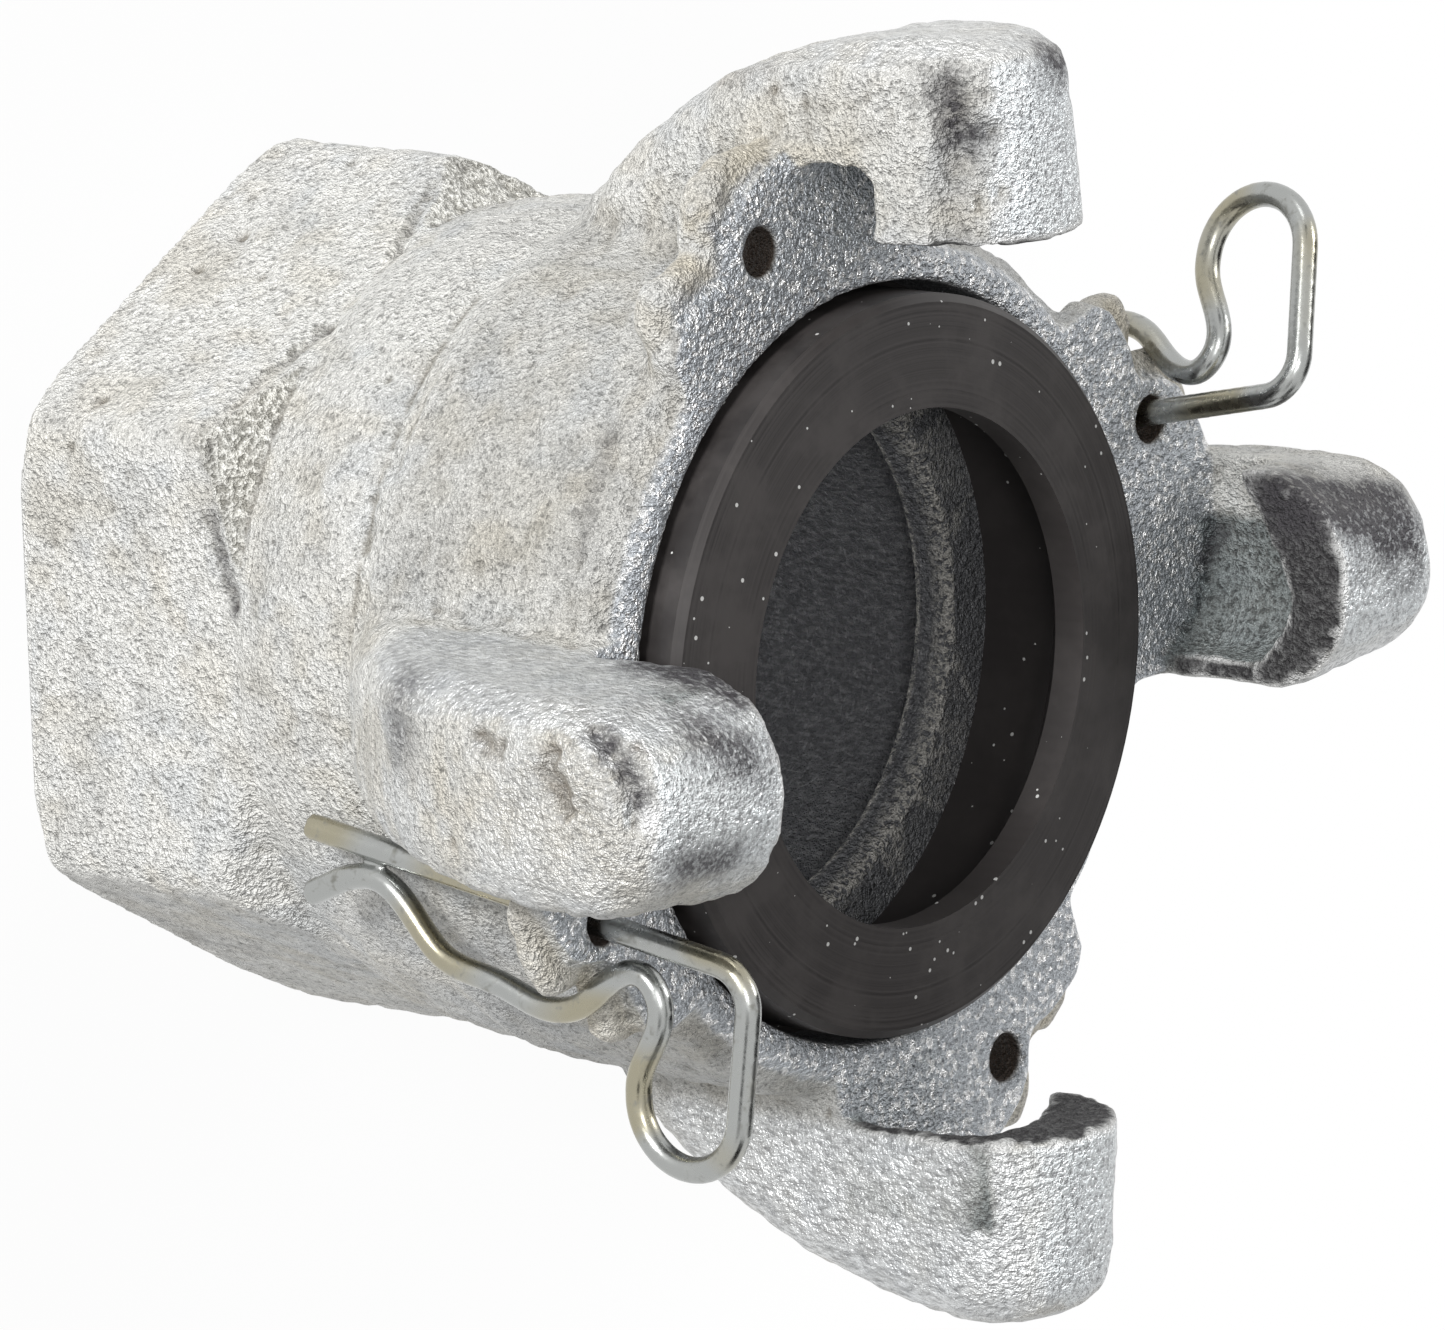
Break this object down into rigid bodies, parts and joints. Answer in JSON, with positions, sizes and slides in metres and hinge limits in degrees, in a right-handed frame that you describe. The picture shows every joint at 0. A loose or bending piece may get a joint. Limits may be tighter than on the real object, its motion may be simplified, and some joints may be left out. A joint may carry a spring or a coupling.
{
  "type": "claw hose coupling",
  "caption": "Cast claw coupling half with a threaded hexagon end, turned-in claws, a rubber face washer and sliding wire safety clips.",
  "frame": {"origin": "middle of the hexagon's end face", "axes": "+Z along the coupling axis towards the claws; one claw lies on +X"},
  "size_m": [0.1274, 0.1274, 0.1016],
  "materials": {
    "casting": "zinc-plated rough casting, pale silver with a beige and bluish tint",
    "rubber": "black moulded rubber, satin",
    "clip_wire": "bright zinc-plated spring wire"
  },
  "bodies": {
    "half_coupling": {"coupling_body": "casting", "rubber_washer": "rubber"},
    "clip_1": {"safety_clip_1": "clip_wire"},
    "clip_2": {"safety_clip_2": "clip_wire"}
  },
  "joints": [
    {"name": "clip_1_pull", "type": "slide", "parent": "half_coupling", "child": "clip_1", "axis": [0, -0.1392, 0.9903], "range_m": [0, 0.018]},
    {"name": "clip_2_pull", "type": "slide", "parent": "half_coupling", "child": "clip_2", "axis": [0, 0.2079, 0.9781], "range_m": [0, 0.016]}
  ]
}
